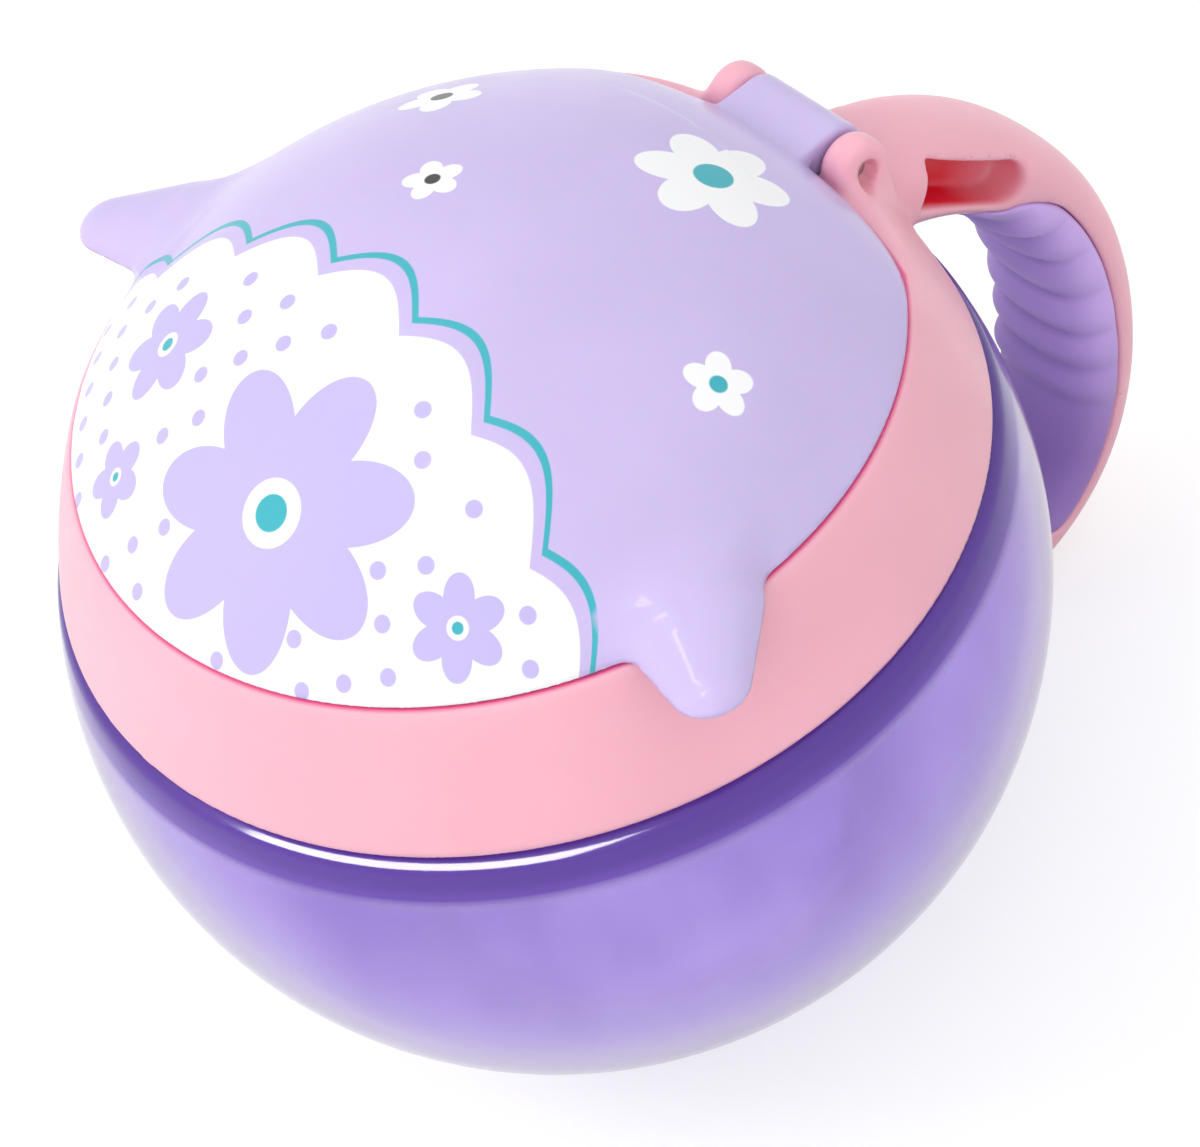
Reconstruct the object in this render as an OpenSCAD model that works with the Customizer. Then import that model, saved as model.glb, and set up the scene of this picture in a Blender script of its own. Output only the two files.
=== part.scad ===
// Toddler snack container: a ball-shaped bowl, a screw-on collar with a handle,
// a snap lid on a hinge pin, and a soft slit membrane under the lid.
// The bowl stands on z = 0 with its axis on Z. The front is -Y, the handle is +Y.

/* [Bowl] */
// Outer diameter of the ball-shaped bowl
bowl_d = 104.2; // [104:0.1:105]
// Diameter of the flat that it stands on
base_d = 50; // [44:1:52]
// Height of the ball's centre above the table
bowl_z = 47.6; // [47:0.1:48]
// Wall thickness of the bowl
bowl_wall = 2; // [1.6:0.1:2.2]
// Height of the shoulder that the collar comes down to
shoulder_z = 64.2; // [63.8:0.1:64.4]
// Outer radius of the threaded neck
neck_r = 42.6; // [42.4:0.1:42.8]

/* [Collar and thread] */
// Radius of the collar's lower edge
collar_low_r = 49; // [48.8:0.1:49.4]
// Radius of the collar's upper edge
collar_top_r = 43.2; // [43.2:0.1:43.6]
// Height of the collar's upper edge, where the lid sits
rim_z = 79.8; // [79.6:0.1:80]
// Rise of the thread in one turn
thread_pitch = 4; // [3.8:0.1:4]
// Length of each thread in degrees
thread_angle = 450; // [360:10:450]

/* [Lid] */
// Radius of the lid's dome
dome_r = 57.8; // [57:0.1:58.5]
// Wall thickness of the lid
lid_wall = 2; // [1.6:0.1:2.2]
// Length of each side tab, from the middle of its base to the middle of its tip
tab_reach = 9.3; // [9:0.1:10]

/* [Hinge] */
// Distance of the hinge axis behind the bowl's axis
hinge_y = 42.6; // [42.4:0.1:42.8]
// Height of the hinge axis
hinge_z = 79.6; // [79.4:0.1:79.8]
// Radius of the hinge barrel and of the ears
knuckle_r = 3.5; // [3.4:0.05:3.6]
// Radius of the steel hinge pin
pin_r = 1.2; // [1:0.05:1.4]

/* [Handle] */
// Half width of the handle across its middle
handle_half_w = 8.6; // [8:0.1:9]
// Half thickness of the handle across its middle
handle_half_t = 5.2; // [4.8:0.1:5.6]
// Number of soft ribs on the grip
rib_count = 6; // [4:1:8]
// Height of the ribs
rib_height = 0.9; // [0:0.1:1.2]

/* [Membrane] */
// Thickness of the soft membrane
membrane_t = 1.6; // [1.2:0.1:1.6]
// Width of the slits between the flaps
slit_w = 0.7; // [0.4:0.1:1]

/* [Hidden] */
$fn = 96;
slip = 0.1;
far = 200;
over = 1;

// Bowl
bowl_r = bowl_d / 2;
bowl_inner_r = bowl_r - bowl_wall;
base_r = base_d / 2;
cone_angle = atan2(-bowl_z, base_r) + acos(bowl_r / norm([base_r, bowl_z]));
cone_r = bowl_r * cos(cone_angle);
cone_z = bowl_z + bowl_r * sin(cone_angle);
shoulder_round = 2;
bowl_gap = 0.35;
shoulder_round_z = shoulder_z - shoulder_round;
shoulder_round_r = sqrt(pow(bowl_r - shoulder_round, 2) - pow(shoulder_round_z - bowl_z, 2));
shoulder_meet_z = bowl_z + (shoulder_round_z - bowl_z) * bowl_r / (bowl_r - shoulder_round);
neck_top_z = 73;
neck_inner_r = neck_r - bowl_wall;
lip_round = 0.5;

// Collar
collar_low_z = shoulder_z + 0.3;
collar_bulge_r = 75;
collar_chord = [collar_top_r - collar_low_r, rim_z - collar_low_z];
collar_middle = [collar_top_r + collar_low_r, rim_z + collar_low_z] / 2;
collar_sag = sqrt(pow(collar_bulge_r, 2) - pow(norm(collar_chord) / 2, 2));
collar_centre = collar_middle + unit([-collar_chord[1], collar_chord[0]]) * collar_sag;
collar_back_z = 75.3;
collar_back_r = [76.8, 72.9];
collar_bore_r = 44.3;
deck_z = neck_top_z + membrane_t + 2 * slip;
deck_t = 1.6;
deck_bore_r = 38.6;
rim_inner_r = 41.8;

// Thread
thread_height = 1.2;
thread_root = 2.6;
thread_crest = 1.2;
thread_sink = 0.6;
thread_step = 10;
thread_lead_in = 30;
collar_thread_z = 66.2;
bowl_thread_start = -180;
bowl_thread_z = collar_thread_z + thread_pitch / 2 + bowl_thread_start / 360 * thread_pitch;

// Lid
lid_edge_r = collar_top_r - 0.2;
dome_z = rim_z + slip - sqrt(pow(dome_r, 2) - pow(lid_edge_r, 2));
dome_inner_r = dome_r - lid_wall;
lid_low_z = rim_z + slip;
plug_slip = 0.4;
plug_outer_r = rim_inner_r - plug_slip;
plug_inner_r = 39.9;
plug_low_z = 78;
lid_back_r = 71.3;
lid_back_y = 39.7;
lid_back_axis_y = lid_back_y - lid_back_r;
lid_back_round = 22;
lid_back_turn = 32.6;
plug_inset = lid_edge_r - plug_outer_r;
tab_base = [40.2, -7.4];
tab_dir = [cos(29.5), -sin(29.5)];
tab_base_size = [7.3, 7.3, 4];
tab_tip_size = [4.1, 4.1, 2.4];

// Hinge
barrel_half = 6.6;
ear_in = 6.9;
ear_out = 10.8;
knuckle_gap = 0.35;
bore_gap = 0.05;
pin_half = 9.4;
ear_mouth_r = 1.6;
ear_foot_z = 70;
ear_front_y = 39.6;
ear_plate_y = 45;
ear_front_drop = 1.8;
ear_room_slip = 0.4;
block_front = [37.6, 83.05];
block_under = [37.5, 81];
block_side = block_front - [hinge_y, hinge_z];
block_turn = atan2(block_side[1], block_side[0]) - acos(knuckle_r / norm(block_side));
block_tangent = [hinge_y, hinge_z] + knuckle_r * [cos(block_turn), sin(block_turn)];

// Handle: the middle line runs from the collar over the shoulder to the free low end
handle_root = [43, 70.3];
root_pull = [60.5, 66.5];
shoulder_pull = [72.8, 53.5];
handle_mid = [72.8, 34];
mid_pull = [72.8, 20];
end_pull = [68, 6.2];
handle_end = [53, 4.5];
root_half_t = 5.4;
end_half_w = 8;
end_half_t = 4.2;
section_power = 2.4;
handle_rings = 40;
tip_from = 0.94;
grip_from = 0.185;
grip_to = 0.96;
grip_rise = 0.14;
grip_fall = 0.06;
grip_depth = 1.2;
grip_proud = 0.25;
grip_span = 90;
grip_tip_span = 12;
grip_points = 16;
grip_fine = 2;
grip_slip = 0.12;
grip_slip_angle = 2;
rib_from = 0.26;
rib_to = 0.68;
shell_points = 14;
pocket_at = [57.5, 64.3];
pocket_slope = -37;
pocket_size = [15, 4.8];
pocket_depth = 5.5;

// Membrane
membrane_z = neck_top_z + slip;
ring_r = collar_bore_r - 0.4;
flap_count = 6;
ring_apothem = 30;
flap_root = ring_apothem - 0.15 - membrane_t / 2;
flap_tip = 2.5;

// A point on a curve that leaves a towards b and reaches d from c
function curve(a, b, c, d, t) =
    pow(1 - t, 3) * a + 3 * pow(1 - t, 2) * t * b + 3 * (1 - t) * pow(t, 2) * c + pow(t, 3) * d;

// The handle's middle line, from 0 at the root to 1 at the free end
function handle_line(s) = s < 0.5
    ? curve(handle_root, root_pull, shoulder_pull, handle_mid, 2 * s)
    : curve(handle_mid, mid_pull, end_pull, handle_end, 2 * s - 1);
function unit(v) = v / norm(v);
function handle_ahead(s) = unit(handle_line(min(1, s + 0.01)) - handle_line(max(0, s - 0.01)));
function blend(a, b, t) = a + (b - a) * t;
function ease(t) = t <= 0 ? 0 : t >= 1 ? 1 : t * t * (3 - 2 * t);
function half_w(s) = blend(handle_half_w, end_half_w, ease((s - 0.5) / 0.5));
function half_t(s) = s < 0.5
    ? blend(root_half_t, handle_half_t, ease(s / 0.35))
    : blend(handle_half_t, end_half_t, ease((s - 0.5) / 0.5));

// The round tip closes the last few millimetres of the free end
function tip_scale(s) = s < tip_from ? 1 : sqrt(max(0.04, 1 - pow((s - tip_from) / (1 - tip_from), 2)));
function power(v, p) = sign(v) * pow(abs(v), p);

// A point of the handle's rounded section, at an angle where -90 faces the bowl
function handle_point(s, angle, grow) =
    let (c = handle_line(s), n = handle_ahead(s), k = tip_scale(s),
         across = (half_w(s) * k + grow) * power(cos(angle), 2 / section_power),
         out = (half_t(s) * k + grow) * power(sin(angle), 2 / section_power))
    [across, c[0] - n[1] * out, c[1] + n[0] * out];

// How far the grip reaches round the section, with a round upper and lower end
function grip_reach(s) =
    let (t = max(0, min(1, (s - grip_from) / grip_rise, (grip_to - s) / grip_fall)))
    blend(grip_tip_span, grip_span, sqrt(1 - pow(1 - t, 2)));
function in_grip(s) = s >= grip_from && s <= grip_to;

// Height of the ribs at a place on the grip, nothing at its edges
function rib(s, u) =
    let (t = (s - rib_from) / (rib_to - rib_from))
    t < 0 || t > 1 ? 0 : rib_height * abs(sin(180 * rib_count * t)) * (1 - pow(abs(u), 2));

// Faces of a tube of rings, each ring with the same number of points, and its two ends
function tube_faces(rings, points) = concat(
    [for (i = [0 : rings - 2], j = [0 : points - 1])
        [i * points + j, i * points + (j + 1) % points, (i + 1) * points + (j + 1) % points]],
    [for (i = [0 : rings - 2], j = [0 : points - 1])
        [i * points + j, (i + 1) * points + (j + 1) % points, (i + 1) * points + j]],
    [[for (j = [points - 1 : -1 : 0]) j]],
    [[for (j = [0 : points - 1]) (rings - 1) * points + j]]);

// Helical thread on a wall of radius r, standing out (side 1) or in (side -1)
module thread(r, side, start, z) {
    steps = thread_angle / thread_step;
    root_r = r - side * thread_sink;
    rings = [for (i = [0 : steps])
        let (a = i * thread_step,
             k = max(0.08, min(1, min(a, thread_angle - a) / thread_lead_in)),
             crest_r = r + side * thread_height * k,
             c = z + thread_pitch * a / 360,
             half_root = thread_root / 2, half_crest = thread_crest / 2,
             section = [[root_r, c - half_root], [crest_r, c - half_crest],
                        [crest_r, c + half_crest], [root_r, c + half_root]])
        [for (q = section) [q[0] * cos(start + a), q[0] * sin(start + a), q[1]]]];
    points = [for (ring = rings) each side > 0 ? ring : [ring[3], ring[2], ring[1], ring[0]]];
    polyhedron(points, tube_faces(len(rings), 4), convexity = 8);
}

module ball(r) {
    rotate_extrude() intersection() {
        circle(r = r);
        translate([0, -far]) square([far, 2 * far]);
    }
}

// The ball, its straight foot down to the base and its round shoulder, as half an outline
module bowl_outline() {
    intersection() {
        translate([0, bowl_z]) circle(r = bowl_r);
        translate([0, cone_z]) square([far, shoulder_meet_z - cone_z]);
    }
    polygon([[0, 0], [base_r, 0], [cone_r, cone_z], [0, cone_z]]);
    translate([shoulder_round_r, shoulder_round_z]) circle(r = shoulder_round);
    translate([0, bowl_z]) square([shoulder_round_r, shoulder_z - bowl_z]);
    translate([0, bowl_z]) square([neck_r, neck_top_z - lip_round - bowl_z]);
    translate([0, bowl_z]) square([neck_r - lip_round, neck_top_z - bowl_z]);
    translate([neck_r - lip_round, neck_top_z - lip_round]) circle(r = lip_round);
}

module bowl() {
    color([0.62, 0.52, 0.86, 0.6]) {
        rotate_extrude() difference() {
            bowl_outline();
            intersection() {
                translate([0, bowl_z]) circle(r = bowl_inner_r);
                translate([0, bowl_wall]) square([far, shoulder_z - 2 * bowl_wall]);
            }
            translate([0, bowl_z]) square([neck_inner_r, far]);
        }
        thread(neck_r, 1, bowl_thread_start, bowl_thread_z);
    }
}

// Everything inside the collar's outer arc, which runs from its lower to its upper edge
module collar_outline() {
    intersection() {
        translate(collar_centre) circle(r = collar_bulge_r, $fn = 360);
        translate([0, collar_low_z]) square([far, rim_z - collar_low_z]);
    }
}

// The lid's plan inside radius r, flattened towards the hinge, drawn in by inset
module lid_plan(r, inset) {
    intersection() {
        circle(r = r);
        translate([0, lid_back_axis_y]) circle(r = lid_back_r - inset, $fn = 360);
    }
}

// The space in front of the lid's back, which rounds over from the dome down to the rim
module lid_back() {
    round_at = (dome_r - lid_back_round) * [sin(lid_back_turn), cos(lid_back_turn)];
    translate([0, lid_back_axis_y]) rotate_extrude() {
        translate([0, lid_low_z]) square([dome_r * sin(lid_back_turn) - lid_back_axis_y, far]);
        intersection() {
            translate([round_at[0] - lid_back_axis_y, dome_z + round_at[1]]) circle(r = lid_back_round);
            translate([0, lid_low_z]) square(far);
        }
    }
}

module collar_profile() {
    difference() {
        collar_outline();
        square([collar_bore_r, deck_z]);
        square([deck_bore_r, far]);
        translate([0, deck_z + deck_t]) square([rim_inner_r, far]);
    }
}

// The space behind the collar's upper edge, which is flattened towards the hinge like the lid
module collar_back() {
    translate([0, 0, collar_back_z]) difference() {
        cylinder(r = bowl_r, h = rim_z - collar_back_z + over);
        translate([0, lid_back_axis_y])
            cylinder(r1 = collar_back_r[0], r2 = collar_back_r[1], h = rim_z - collar_back_z, $fn = 360);
        translate([0, lid_back_axis_y, rim_z - collar_back_z]) cylinder(r = collar_back_r[1], h = over, $fn = 360);
    }
}

// The flat of the collar behind the lid, which the ears stand on
module back_land() {
    translate([0, 0, deck_z]) linear_extrude(rim_z - deck_z) difference() {
        circle(r = rim_inner_r + slip);
        lid_plan(far, plug_inset - plug_slip);
    }
}

// One hinge ear: a round-topped plate that stands on the collar
module ear(x0, x1) {
    translate([x0, 0, 0]) rotate([90, 0, 90]) linear_extrude(x1 - x0) {
        translate([hinge_y, hinge_z]) circle(r = knuckle_r);
        polygon([[ear_front_y, deck_z + deck_t], [ear_plate_y, deck_z + deck_t],
                 [ear_plate_y, ear_foot_z], [hinge_y + knuckle_r, ear_foot_z],
                 [hinge_y + knuckle_r, hinge_z], [hinge_y, hinge_z], [ear_front_y, hinge_z - ear_front_drop]]);
    }
}

module along_hinge(x0, x1, r) {
    translate([x0, hinge_y, hinge_z]) rotate([0, 90, 0]) cylinder(r = r, h = x1 - x0);
}

module collar() {
    color([0.98, 0.75, 0.8]) {
        difference() {
            union() {
                difference() {
                    union() {
                        rotate_extrude() collar_profile();
                        back_land();
                    }
                    collar_back();
                }
                ear(ear_in, ear_out);
                ear(-ear_out, -ear_in);
            }
            along_hinge(-ear_in, ear_in, knuckle_r + knuckle_gap);
            along_hinge(-ear_out - over, ear_out + over, pin_r);
            along_hinge(pin_half, ear_out + over, ear_mouth_r);
            along_hinge(-ear_out - over, -pin_half, ear_mouth_r);
        }
        thread(collar_bore_r, -1, 0, collar_thread_z);
    }
}

// The space of the collar and the ears, which the handle's root is cut to
module collar_space() {
    rotate_extrude() {
        collar_profile();
        translate([0, collar_low_z]) square([collar_bore_r + over, rim_z - collar_low_z]);
    }
    ear(ear_in, ear_out);
    ear(-ear_out, -ear_in);
    along_hinge(-ear_in, ear_in, knuckle_r + knuckle_gap);
}

module handle_body() {
    rings = [for (i = [0 : handle_rings])
        let (s = i / handle_rings, reach = grip_reach(s), inset = in_grip(s) ? -grip_depth : 0)
        concat(
            [for (j = [0 : grip_points])
                handle_point(s, -90 + reach * (2 * j / grip_points - 1), inset)],
            [for (j = [0 : shell_points])
                handle_point(s, -90 + reach + (360 - 2 * reach) * j / shell_points, 0)])];
    points = [for (ring = rings) each ring];
    polyhedron(points, tube_faces(len(rings), len(rings[0])), convexity = 8);
}

// The moulder's hollow in one side of the handle: square at one end and round at the other
module side_pocket(side) {
    depth = pocket_depth + 2 * over;
    straight = pocket_size[0] - pocket_size[1];
    translate([side * (handle_half_w + over - pocket_depth / 2), pocket_at[0], pocket_at[1]])
        rotate([pocket_slope, 0, 0]) {
            cube([depth, straight, pocket_size[1]], center = true);
            translate([-depth / 2, straight / 2, 0])
                rotate([0, 90, 0]) cylinder(r = pocket_size[1] / 2, h = depth);
        }
}

module handle() {
    color([0.97, 0.72, 0.78]) difference() {
        handle_body();
        collar_space();
        translate([0, 0, bowl_z]) ball(bowl_r + bowl_gap);
        side_pocket(1);
        side_pocket(-1);
    }
}

module grip() {
    first = ceil(grip_from * handle_rings);
    last = floor(grip_to * handle_rings);
    rings = [for (i = [first * grip_fine : last * grip_fine])
        let (s = i / grip_fine / handle_rings, reach = grip_reach(s) - grip_slip_angle)
        concat(
            [for (j = [0 : grip_points])
                let (u = 2 * j / grip_points - 1)
                handle_point(s, -90 + reach * u, grip_proud * (1 - pow(abs(u), 4)) + rib(s, u))],
            [for (j = [grip_points : -1 : 0])
                handle_point(s, -90 + reach * (2 * j / grip_points - 1), grip_slip - grip_depth)])];
    points = [for (ring = rings) each ring];
    color([0.6, 0.5, 0.75])
        polyhedron(points, tube_faces(len(rings), len(rings[0])), convexity = 8);
}

module hinge_pin() {
    color([0.75, 0.75, 0.76]) along_hinge(-pin_half, pin_half, pin_r);
}

// A smooth side tab to lift the lid by, with a flat underside level with the lid's
module tab(side) {
    tip = tab_base + tab_dir * tab_reach;
    translate([0, 0, lid_low_z]) intersection() {
        hull() {
            translate([side * tab_base[0], tab_base[1]]) scale(tab_base_size) sphere(r = 1, $fn = 36);
            translate([side * tip[0], tip[1]]) scale(tab_tip_size) sphere(r = 1, $fn = 36);
        }
        translate([-far, -far]) cube([2 * far, 2 * far, far]);
    }
}

module lid() {
    color([0.8, 0.75, 0.92]) difference() {
        union() {
            intersection() {
                translate([0, 0, dome_z]) ball(dome_r);
                lid_back();
            }
            translate([0, 0, plug_low_z]) linear_extrude(lid_low_z - plug_low_z + over)
                lid_plan(plug_outer_r, plug_inset);
            tab(1);
            tab(-1);
            translate([-barrel_half, 0, 0]) rotate([90, 0, 90]) linear_extrude(2 * barrel_half) {
                translate([hinge_y, hinge_z]) circle(r = knuckle_r);
                polygon([[hinge_y, hinge_z], block_tangent, block_front, block_under]);
            }
        }
        intersection() {
            translate([0, 0, dome_z]) ball(dome_inner_r);
            translate([0, 0, plug_low_z - over]) linear_extrude(far)
                lid_plan(plug_inner_r, lid_edge_r - plug_inner_r);
        }
        along_hinge(-barrel_half - over, barrel_half + over, pin_r + bore_gap);
        along_hinge(barrel_half, ear_out + ear_room_slip, knuckle_r + knuckle_gap);
        along_hinge(-ear_out - ear_room_slip, -barrel_half, knuckle_r + knuckle_gap);
    }
}

module flap_ring() {
    color([0.93, 0.9, 0.97]) translate([0, 0, membrane_z]) difference() {
        cylinder(r = ring_r, h = membrane_t);
        translate([0, 0, -over]) rotate(180 / flap_count)
            linear_extrude(membrane_t + 2 * over)
                circle(r = ring_apothem / cos(180 / flap_count), $fn = flap_count);
    }
}

module flap(number) {
    half_angle = 180 / flap_count;
    slit = slit_w / 2 / cos(half_angle);
    tip_w = flap_tip * tan(half_angle) - slit;
    root_w = flap_root * tan(half_angle) - slit;
    color([0.9, 0.86, 0.96])
    rotate(360 / flap_count * (number - 1)) translate([0, 0, membrane_z]) {
        linear_extrude(membrane_t)
            polygon([[flap_tip, -tip_w], [flap_root, -root_w], [flap_root, root_w], [flap_tip, tip_w]]);
        translate([flap_root, root_w, membrane_t / 2]) rotate([90, 0, 0])
            cylinder(r = membrane_t / 2, h = 2 * root_w);
    }
}

bowl();
collar();
handle();
grip();
hinge_pin();
lid();
flap_ring();
flap(1);  // flap_1
flap(2);  // flap_2
flap(3);  // flap_3
flap(4);  // flap_4
flap(5);  // flap_5
flap(6);  // flap_6
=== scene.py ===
"""Looks of a toddler snack container: a tinted ball-shaped bowl, a pink collar with a hooked handle,
a printed lavender lid on a hinge pin, and a soft slit membrane under the lid.

Shapes are worked out in millimetres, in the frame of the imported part, and turned into metres at the end."""

import math

import bpy
import numpy as np
from mathutils import Matrix, Vector


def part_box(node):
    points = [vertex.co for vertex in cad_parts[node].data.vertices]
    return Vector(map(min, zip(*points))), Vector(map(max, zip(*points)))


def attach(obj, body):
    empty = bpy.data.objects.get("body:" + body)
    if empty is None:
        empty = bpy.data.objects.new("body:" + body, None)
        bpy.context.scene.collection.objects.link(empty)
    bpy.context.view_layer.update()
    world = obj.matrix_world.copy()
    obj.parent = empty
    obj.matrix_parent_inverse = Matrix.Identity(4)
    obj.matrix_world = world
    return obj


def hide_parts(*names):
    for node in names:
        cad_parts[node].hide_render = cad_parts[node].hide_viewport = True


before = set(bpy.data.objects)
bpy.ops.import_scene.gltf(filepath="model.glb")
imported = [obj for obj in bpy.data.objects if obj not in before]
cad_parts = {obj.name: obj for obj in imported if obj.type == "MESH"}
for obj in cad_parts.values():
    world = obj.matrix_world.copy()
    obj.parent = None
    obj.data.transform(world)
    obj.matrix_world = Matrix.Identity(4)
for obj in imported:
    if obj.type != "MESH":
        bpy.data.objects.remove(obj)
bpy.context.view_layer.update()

MM = 0.001


def node_box(name):
    """Lowest and highest corner of a CAD node, in millimetres."""
    low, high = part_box(name)
    return np.array(low) / MM, np.array(high) / MM


# Bowl
BOWL_LOW, BOWL_HIGH = node_box("bowl")
BOWL_R = (BOWL_HIGH[1] - BOWL_LOW[1]) / 2
BOWL_Z = 47.6
BOWL_WALL = 2.0
BASE_R = 25.0
SHOULDER_Z = 64.2
SHOULDER_ROUND = 2.0
NECK_R = 42.6
NECK_TOP_Z = BOWL_HIGH[2]
LIP_ROUND = 0.5
THREAD_PITCH = 4.0
THREAD_ANGLE = 450.0
THREAD_HEIGHT = 1.2

# Collar
COLLAR_LOW_R = 49.0
COLLAR_TOP_R = 43.2
COLLAR_LOW_Z = 64.5
RIM_Z = 79.8
COLLAR_BULGE_R = 75.0
COLLAR_BACK_Z = 75.3
COLLAR_BACK_R = (76.8, 72.9)
COLLAR_BORE_R = 44.3
COLLAR_THREAD_Z = 66.2
DECK_Z = 74.8
DECK_TOP_Z = 76.4
DECK_BORE_R = 38.6
RIM_INNER_R = 41.8

# Lid
LID_HIGH = node_box("lid")[1]
DOME_R = 57.8
LID_WALL = 2.0
LID_LOW_Z = 79.9
LID_EDGE_R = 43.0
DOME_Z = LID_HIGH[2] - DOME_R
PLUG_OUTER_R = 41.4
PLUG_INNER_R = 39.9
PLUG_LOW_Z = 78.0
TAB_BASE = np.array([40.2, -7.4])
TAB_REACH = 9.3
TAB_TURN = math.radians(29.5)
TAB_BASE_SIZE = (7.3, 4.0)
TAB_TIP_SIZE = (4.1, 2.4)

# The back of the lid and of the collar's rim, flattened by a wide curve about an upright axis
BACK_R = 71.3
BACK_AXIS_Y = 39.7 - BACK_R
BACK_ROUND = 22.0
BACK_TURN = math.radians(32.6)

# Hinge
HINGE_Y = 42.6
HINGE_Z = 79.6
KNUCKLE_R = 3.5
KNUCKLE_GAP = 0.35
PIN_R = 1.2
PIN_HALF = 9.4
BORE_GAP = 0.05
BARREL_HALF = 6.6
EAR_IN = 6.9
EAR_OUT = 10.8
EAR_MOUTH_R = 1.6
EAR_FOOT_Z = 70.0
EAR_FRONT_Y = 39.6
EAR_BACK_Y = HINGE_Y + KNUCKLE_R
EAR_FLARE = 2.6
BLOCK_FRONT = (37.6, 83.05)
BLOCK_UNDER_Z = 81.0

# Handle: control points of its middle line, across (y) and up (z)
HANDLE_LINE = np.array([(43, 70.3), (60.5, 66.5), (72.8, 53.5), (72.8, 34), (72.8, 20), (68, 6.2), (53, 4.5)])
HANDLE_HALF_W = (8.6, 8.0)
HANDLE_HALF_T = (5.4, 5.2, 4.2)
SECTION_POWER = 2.4
TIP_FROM = 0.94
GRIP_FROM = 0.185
GRIP_TO = 0.96
GRIP_RISE = 0.14
GRIP_FALL = 0.06
GRIP_SPAN = 90.0
GRIP_TIP_SPAN = 12.0
GRIP_DEPTH = 1.2
GRIP_PROUD = 0.25
GRIP_SEAM = 0.05
RIB_FROM = 0.26
RIB_TO = 0.68
RIB_COUNT = 6
RIB_HEIGHT = 1.1
RIB_VALLEY = 0.14
HANDLE_LENGTH = 105.0
HANDLE_MEAN_R = 6.5
POCKET_AT = (57.5, 64.3)
POCKET_SLOPE = math.radians(-37)
POCKET_HALF = (7.5, 2.4)
POCKET_FLOOR_X = 3.1
POCKET_WALL = 1.2

# Roundings of edges and of inner corners
CUT_SOFT = 0.3
PLAN_SOFT = 2.0
EAR_SOFT = 1.6
HANDLE_SOFT = 1.4
POCKET_SOFT = 1.0

# Membrane
FLAPS = 6
MEMBRANE_T = 1.6
MEMBRANE_Z = 73.1
RING_R = 43.9
RING_APOTHEM = 30.0
FLAP_ROOT = 29.05
FLAP_TIP = 2.5
SLIT_W = 0.7


# ---------------------------------------------------------------- shapes as signed distances


def join(a, b, soft):
    """Both shapes together, with a fillet of about soft where they meet."""
    h = np.clip(0.5 + 0.5 * (b - a) / soft, 0, 1)
    return b + (a - b) * h - soft * h * (1 - h)


def common(a, b, soft):
    return -join(-a, -b, soft)


def cut(a, b, soft):
    """Shape a without shape b."""
    return -join(-a, b, soft)


def slab(v, low, high):
    return np.maximum(low - v, v - high)


def rounded_box(u, v, half_u, half_v, corner):
    du = np.abs(u) - half_u + corner
    dv = np.abs(v) - half_v + corner
    return np.hypot(np.maximum(du, 0), np.maximum(dv, 0)) + np.minimum(np.maximum(du, dv), 0) - corner


def half_plane(u, v, start, end):
    """Distance to the line from start to end, negative on its left."""
    along = np.array(end, float) - np.array(start, float)
    along /= np.hypot(*along)
    return (u - start[0]) * along[1] - (v - start[1]) * along[0]


def ease(t):
    t = np.clip(t, 0, 1)
    return t * t * (3 - 2 * t)


def bezier(points, t):
    a, b, c, d = points
    t = np.asarray(t)[..., None]
    return (1 - t) ** 3 * a + 3 * (1 - t) ** 2 * t * b + 3 * (1 - t) * t**2 * c + t**3 * d


def handle_line(s):
    s = np.asarray(s, float)
    upper = bezier(HANDLE_LINE[:4], np.clip(2 * s, 0, 1))
    lower = bezier(HANDLE_LINE[3:], np.clip(2 * s - 1, 0, 1))
    return np.where((s < 0.5)[..., None], upper, lower)


class HandlePlane:
    """For any point of the handle's middle plane: where along the handle it is and how far outward."""

    LOW = np.array([34.0, -8.0])
    HIGH = np.array([86.0, 86.0])
    CELL = 0.4
    SAMPLES = 801

    def __init__(self):
        s = np.linspace(0, 1, self.SAMPLES)
        line = handle_line(s)
        ahead = np.gradient(line, axis=0)
        ahead /= np.hypot(ahead[:, 0], ahead[:, 1])[:, None]
        count = np.ceil((self.HIGH - self.LOW) / self.CELL).astype(int) + 1
        y = self.LOW[0] + self.CELL * np.arange(count[0])
        z = self.LOW[1] + self.CELL * np.arange(count[1])
        grid = np.stack(np.meshgrid(y, z, indexing="ij"), -1)
        nearest = np.array([((row[:, None] - line[None]) ** 2).sum(-1).argmin(-1) for row in grid])
        step = grid - line[nearest]
        forward = (step * ahead[nearest]).sum(-1)
        # The nearest sample is refined along the line, so that s has no steps
        spacing = np.hypot(*np.gradient(line, axis=0).T)
        self.s = s[nearest] + np.clip(forward / spacing[nearest], -1, 1) / (self.SAMPLES - 1)
        last = self.SAMPLES - 1
        # Between the ends this is flat, so handle_section tells no depth below -1.2
        between = -1.0
        self.beyond = np.where(nearest == last, forward, np.where(nearest == 0, -forward, between))
        self.out = step[..., 1] * ahead[nearest][..., 0] - step[..., 0] * ahead[nearest][..., 1]

    def look_up(self, y, z):
        """(s, outward distance, distance beyond the nearer end) by linear interpolation."""
        u = np.clip((y - self.LOW[0]) / self.CELL, 0, self.s.shape[0] - 1.001)
        v = np.clip((z - self.LOW[1]) / self.CELL, 0, self.s.shape[1] - 1.001)
        i, j = u.astype(int), v.astype(int)
        a, b = u - i, v - j
        return [
            t[i, j] * (1 - a) * (1 - b) + t[i + 1, j] * a * (1 - b)
            + t[i, j + 1] * (1 - a) * b + t[i + 1, j + 1] * a * b
            for t in (self.s, self.out, self.beyond)
        ]


PLANE = HandlePlane()


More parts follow.
